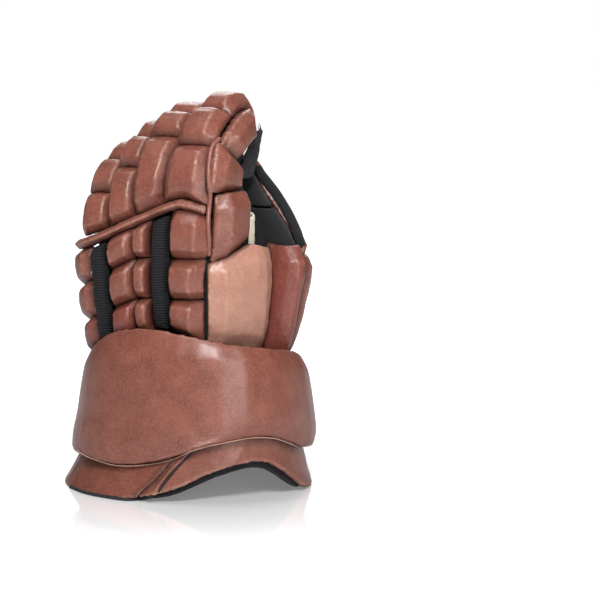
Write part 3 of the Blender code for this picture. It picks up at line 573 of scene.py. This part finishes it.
def leather_pad(
    node, material, slot_name, depth, length=0.011, grid=0.0010, rounds=10, drop=0.0
):
    """The leather block that a solid stands for.

    Depth and length are those of its wrinkles, grid is how fine it is, and rounds how round its edges.
    """
    modifiers = (
        ("REMESH", {"mode": "VOXEL", "voxel_size": grid}),
        ("SMOOTH", {"factor": 0.5, "iterations": rounds}),
    )
    form = finished(node, solid_copy(node), modifiers)
    form.normal_update()
    near_edge = [clamp(-value / EDGE_BEND) for value in hollowness(form, 6)]
    seed = sum(ord(letter) for letter in node) % 97
    mask = [FACE_WRINKLE + (1.0 - FACE_WRINKLE) * value for value in near_edge]
    wrinkle(form, depth, length, seed, mask)
    wrinkle(form, depth * PUCKER_DEPTH, length * PUCKER_LENGTH, seed + 5, near_edge)
    for vert in form.verts:
        vert.co += vert.normal * PUFF
    lower_foot(form, drop)
    piece = add_piece(node + "_pad", form, material, slot_name, node)
    return piece


# %% [markdown]
# The blocks on the back of the hand and the fingers come first. The tables name the solids and how deep
# their wrinkles are: the small blocks are tight, and the blocks beside the index finger are the slackest.
# The lowest blocks reach down behind the cuff's rim.

# %% Leather blocks
FINGER_NAMES = ("index", "middle", "ring", "pinky")
ROW_BLOCKS = (
    # first words, depth
    ("back_pad_outer", 0.0006),
    ("back_pad_outer_inner", 0.0006),
    ("back_pad_inner", 0.0006),
    ("back_pad_inner_outer", 0.0006),
    ("ulnar_pad", 0.0006),
    ("index_side_pad", 0.0010),
)
FINGER_BLOCKS = (
    # last words, depth
    ("proximal_roll", 0.0007),
    ("middle_roll", 0.0008),
    ("tip_pad", 0.0008),
)
THUMB_BLOCKS = ("thumb_side_roll", "thumb_base_pad", "thumb_flex_band", "thumb_dome")
THUMB_DEPTH = 0.0008
BLOCKS = [("%s_%d" % (words, row), depth) for row in (1, 2, 3) for words, depth in ROW_BLOCKS]
BLOCKS += [("%s_%s" % (finger, words), depth) for finger in FINGER_NAMES for words, depth in FINGER_BLOCKS]
BLOCKS += [(name, THUMB_DEPTH) for name in THUMB_BLOCKS]
FOOT_DROP = 0.006
FOOT_BLOCKS = ["%s_1" % words for words, depth in ROW_BLOCKS if words != "index_side_pad"]
FOOT_BLOCKS += ["thumb_side_roll", "thumb_base_pad"]
DARKER_BLOCKS = ("back_pad_outer_inner_1", "thumb_side_roll", "back_pad_outer_1")

for node, depth in BLOCKS:
    material = DARK_LEATHER if node in DARKER_BLOCKS else BROWN_LEATHER
    drop = FOOT_DROP if node in FOOT_BLOCKS else 0.0
    leather_pad(node, material, "brown_leather", depth, drop=drop)
leather_pad("thumb_side_guard", PALE_LEATHER, "pale_brown_leather", depth=0.0008, drop=FOOT_DROP)
leather_pad("knuckle_welt", BROWN_LEATHER, "brown_leather", depth=0.0004, grid=0.0008, rounds=6)
print(len(BLOCKS) + 2, "leather blocks")

# %% [markdown]
# The cuff is a broad padded band over a skirt. Its leather is smooth and only dented a little, so the band
# gets long, shallow noise and a wide round edge. The skirt is thinner and stiffer, with sharper edges.

# %% Cuff
BAND_PIECES = ("cuff_band", "cuff_ulnar_pad_lower", "cuff_ulnar_pad_upper")
SKIRT_PIECES = ("flare_back", "flare_thumb_side", "flare_palm")
for node in BAND_PIECES:
    leather_pad(node, BROWN_LEATHER, "brown_leather", depth=0.0005, length=0.045, grid=0.0018, rounds=22)
for node in SKIRT_PIECES:
    leather_pad(
        node, BROWN_LEATHER, "brown_leather", depth=0.0009, length=0.022, grid=0.0013, rounds=5
    )
print(len(BAND_PIECES + SKIRT_PIECES), "cuff pieces")

# %% [markdown]
# The cloth shells of the pocket, the stalls, the gussets and the lining are thin. They keep their solids'
# walls and get a finer mesh with slack wrinkles. The two elastic ribbons lie a little deeper than their
# solids do, between the blocks.

# %% Cloth shells
RIBBON_SWELL = -0.0013


def cloth_shell(node, material, slot_name, levels, depth, length=0.012, swell=0.0, drop=0.0):
    """The cloth that a solid stands for. Depth and length are those of its wrinkles."""
    modifiers = (("SUBSURF", {"levels": levels, "render_levels": levels}),)
    form = finished(node, solid_copy(node), modifiers)
    form.normal_update()
    wrinkle(form, depth, length, len(node))
    for vert in form.verts:
        vert.co += vert.normal * swell
    lower_foot(form, drop)
    return add_piece(node + "_cloth", form, material, slot_name, node)


STALLS = tuple("finger_stall_" + finger for finger in FINGER_NAMES)
INNER_SHELLS = ("hand_pocket", "cuff_lining", "cuff_collar")
INNER_SHELLS += ("thumb_stall_base", "thumb_stall_middle", "thumb_stall_tip")
SHELLS = (
    # names, material, slot, levels, depth
    (STALLS, BLACK_FABRIC, "black_fabric", 2, 0.0005),
    (INNER_SHELLS, BLACK_FABRIC, "black_fabric", 1, 0.0003),
    (("thumb_gusset", "ulnar_gusset", "index_palm_flap"), BLACK_FABRIC, "black_fabric", 3, 0.0007),
    (("palm_tape",), BLACK_FABRIC, "black_fabric", 3, 0.0002),
    (("palm_suede",), CREAM_SUEDE, "cream_suede", 3, 0.0009),
    (("palm_patch",), GREY_SUEDE, "grey_suede", 3, 0.0008),
)
for names, material, slot_name, levels, depth in SHELLS:
    for node in names:
        cloth_shell(node, material, slot_name, levels, depth)
for node in ("elastic_outer_ribbon", "elastic_inner_ribbon"):
    cloth_shell(
        node, BLACK_ELASTIC, "black_fabric", 3, 0.0003, length=0.02, swell=RIBBON_SWELL, drop=FOOT_DROP
    )
print(sum(len(row[0]) for row in SHELLS) + 2, "cloth shells")

# %% [markdown]
# The seams carry cords of rolled leather and rows of stitches. Each seam is read off the picture as a few
# pixels. A ray through each pixel finds the leather there, and the seam is drawn on what it hits, so a
# seam sits on the glove from every side. The ends of a seam reach round the edge as far as the picture
# shows them.

# %% Places under pixels
RAY_STEPS = ((0.0, 0.0), (2.0, 0.0), (-2.0, 0.0), (0.0, 2.0), (0.0, -2.0), (3.0, 3.0), (-3.0, 3.0))
DEPTH_MARGIN = 0.0004


def dressed_tree(first_words=""):
    """A search tree over the dressed pieces whose names start with the given words."""
    pieces = []
    for piece in bpy.data.objects:
        dressed = piece.name.endswith(("_pad", "_cloth")) and piece.name not in frame["nodes"]
        if dressed and piece.name.startswith(first_words):
            pieces.append(piece)
    return search_tree(pieces)


def sight_line(pixel, step=(0.0, 0.0)):
    """The way from the camera through a place beside a pixel."""
    across = (pixel[0] + step[0] - AIM_PIXEL[0]) * METRES_PER_PIXEL
    down = (pixel[1] + step[1] - AIM_PIXEL[1]) * METRES_PER_PIXEL
    turn = camera.rotation_euler.to_matrix()
    return (turn @ Vector((across, -down, -VIEW_DISTANCE))).normalized()


def under_pixel(tree, pixel):
    """The place on the glove that a pixel of the picture shows, and the way out of it.

    The nearest of a few rays gives the depth, so a place in a gap lies level with the gap's rims.
    """
    depths, normals = [], []
    for step in RAY_STEPS:
        hit, normal = tree.ray_cast(camera.location, sight_line(pixel, step))[:2]
        if hit:
            depths.append((hit - camera.location).length)
            normals.append(normal)
    if not depths:
        return None
    place = camera.location + sight_line(pixel) * (min(depths) + DEPTH_MARGIN)
    return place, sum(normals, Vector()).normalized()


# %% [markdown]
# A cord is a row of small circles along a smooth curve, each bridged to the next. The curve goes through
# every place that was found, and carries the way out of the leather along, so that the tube doesn't twist.
# Its first and last circles are smaller and closed, which rounds off the ends.

# %% Cords and stitches
CORD_STEP = 0.0025
END_TAPER = 0.35
STITCH_PITCH = 0.0026
STITCH_RADIUS = 0.00035


def smooth_path(points, step):
    """Points every step along a curve through the given ones, each a pair of a place and a way out."""
    result = []
    last = len(points) - 1
    for index in range(last):
        ends = [points[max(index - 1, 0)], points[index], points[index + 1], points[min(index + 2, last)]]
        count = max(2, int((ends[2][0] - ends[1][0]).length / step))
        for part in range(count):
            t = part / count
            shares = (
                -0.5 * t + t * t - 0.5 * t**3,
                1.0 - 2.5 * t * t + 1.5 * t**3,
                0.5 * t + 2.0 * t * t - 1.5 * t**3,
                -0.5 * t * t + 0.5 * t**3,
            )
            place = sum((end[0] * share for end, share in zip(ends, shares)), Vector())
            result.append((place, ends[1][1].lerp(ends[2][1], t).normalized()))
    result.append(points[-1])
    return result


def tube(form, path, radius, sides=8):
    """A closed tube along a path, added to a bmesh."""
    last = len(path) - 1
    rings = []
    for index, (place, out) in enumerate(path):
        along = (path[min(index + 1, last)][0] - path[max(index - 1, 0)][0]).normalized()
        side = along.cross(out).normalized()
        ring_place = Matrix((-side.cross(along), side, along)).transposed().to_4x4()
        ring_place.translation = place
        is_end = index in (0, last)
        ring_radius = radius * END_TAPER if is_end else radius
        ring = bmesh.ops.create_circle(
            form, cap_ends=is_end, segments=sides, radius=ring_radius, matrix=ring_place
        )["verts"]
        rings.append(list(dict.fromkeys(edge for vert in ring for edge in vert.link_edges)))
    for first, second in zip(rings, rings[1:]):
        bmesh.ops.bridge_loops(form, edges=first + second)


def seam_cord(name, tree, pixels, radius, material, slot_name, lift):
    """A cord on the pieces of a search tree through the given pixels."""
    spots = [spot for spot in (under_pixel(tree, pixel) for pixel in pixels) if spot]
    path = [(place + out * lift, out) for place, out in smooth_path(spots, CORD_STEP)]
    form = bmesh.new()
    tube(form, path, radius)
    bmesh.ops.recalc_face_normals(form, faces=form.faces)
    return add_piece(name, form, material, slot_name)


def stitch_row(name, tree, pixels):
    """A row of stitches on the leather through the given pixels."""
    spots = [spot for spot in (under_pixel(tree, pixel) for pixel in pixels) if spot]
    path = smooth_path(spots, STITCH_PITCH / 4.0)
    form = bmesh.new()
    for start in range(0, len(path) - 3, 4):
        stitch = []
        for place, out in path[start : start + 3]:
            hit, normal = tree.find_nearest(place)[:2]
            stitch.append((hit + normal * STITCH_RADIUS * 0.5, normal))
        tube(form, stitch, STITCH_RADIUS, sides=6)
    bmesh.ops.recalc_face_normals(form, faces=form.faces)
    return add_piece(name, form, STITCH_THREAD, "brown_leather")


# %% [markdown]
# The tables list the seams, each with its pixels from one end to the other. The main cord runs up between
# the index finger's side blocks and the blocks on the back. The others follow the skirt's slanting seam,
# the band's raw edge, the hem and the edge of the thumb, which takes its places from the thumb alone.

# %% Seams
GLOVE = dressed_tree()
THUMB = dressed_tree(("thumb_dome", "thumb_flex", "thumb_stall"))
CORD_PIXELS = {
    "side_seam_cord": (
        (209, 256), (209, 240), (208, 224), (209, 208), (210, 196), (209, 180), (209, 165), (212, 148),
        (220, 138),
    ),
    "skirt_seam_cord": ((191, 450), (184, 457), (176, 465), (167, 475), (160, 484), (155, 492)),
    # The groove cord is a thin black tube sunk into the gap beside the skirt's seam cord: painted shade.
    "skirt_seam_groove": ((194, 451), (187, 458), (179, 466), (170, 476), (163, 485), (158, 493)),
    "thumb_edge_binding": (
        (256, 166), (261, 174), (267, 182), (275, 192), (282, 203), (289, 215), (295, 228), (299, 238),
        (302, 247),
    ),
    "band_raw_edge": (
        (76, 450), (90, 458), (113, 465), (133, 466), (152, 464), (171, 460), (190, 452), (206, 447),
        (229, 442), (252, 438), (271, 438), (283, 441), (298, 447),
    ),
    "hem_binding": ((69, 486), (83, 492), (102, 496), (125, 499), (140, 499), (152, 497)),
}
CORDS = (
    # name, tree, radius, material, slot, lift
    ("side_seam_cord", GLOVE, 0.0019, BROWN_LEATHER, "brown_leather", 0.0002),
    ("skirt_seam_cord", GLOVE, 0.0011, BROWN_LEATHER, "brown_leather", 0.0002),
    ("skirt_seam_groove", GLOVE, 0.0010, BLACK_EDGING, "black_fabric", -0.0002),
    ("thumb_edge_binding", THUMB, 0.0042, BLACK_FABRIC, "black_fabric", 0.0),
    ("band_raw_edge", GLOVE, 0.0004, RAW_EDGE, "brown_leather", 0.0),
    ("hem_binding", GLOVE, 0.0014, BLACK_EDGING, "black_fabric", -0.0004),
)
for cord_name, tree, radius, material, slot_name, lift in CORDS:
    seam_cord(cord_name, tree, CORD_PIXELS[cord_name], radius, material, slot_name, lift)

STITCHES = {
    "lower_block_stitches": ((138, 303), (137, 309), (137, 316), (137, 324)),
    "welt_stitches": ((160, 213), (168, 210), (178, 207), (186, 206), (196, 208), (205, 211)),
}
for row_name, pixels in STITCHES.items():
    stitch_row(row_name, GLOVE, pixels)
print(len(CORDS), "cords and", len(STITCHES), "rows of stitches")

# %% [markdown]
# The loose flap beside the index finger is cut cloth, so short threads stand out of its top edge. Each is
# a thin bent tube that starts at a point of the cloth and sways by noise.

# %% Frayed threads
THREAD_COUNT = 14
THREAD_RADIUS = 0.00035
FRAY_HEIGHT = 0.004
THREAD_SWAY = 0.006
THREAD_LENGTHS = (0.003, 0.0055, 0.008)
THREAD_BOW = Vector((0.0, 0.0, 0.3))
POINT_STRIDE = 37

flap = bpy.data.objects["index_palm_flap_cloth"]
flap_top = max(vert.co.z for vert in flap.data.vertices)
roots = [vert.co.copy() for vert in flap.data.vertices if vert.co.z > flap_top - FRAY_HEIGHT]
fray = bmesh.new()
for index in range(THREAD_COUNT):
    root = roots[(index * POINT_STRIDE) % len(roots)]
    sway = Vector((noise.noise(root * 900.0), noise.noise(root * 700.0), 0.0)) * THREAD_SWAY
    tip = root + sway + Vector((0.0, 0.0, THREAD_LENGTHS[index % len(THREAD_LENGTHS)]))
    middle_of_thread = (root + tip) * 0.5 + sway.cross(THREAD_BOW)
    out = sway.normalized()
    tube(fray, [(root, out), (middle_of_thread, out), (tip, out)], THREAD_RADIUS, sides=5)
bmesh.ops.recalc_face_normals(fray, faces=fray.faces)
add_piece("flap_threads", fray, BLACK_EDGING, "black_fabric")
print(THREAD_COUNT, "threads")
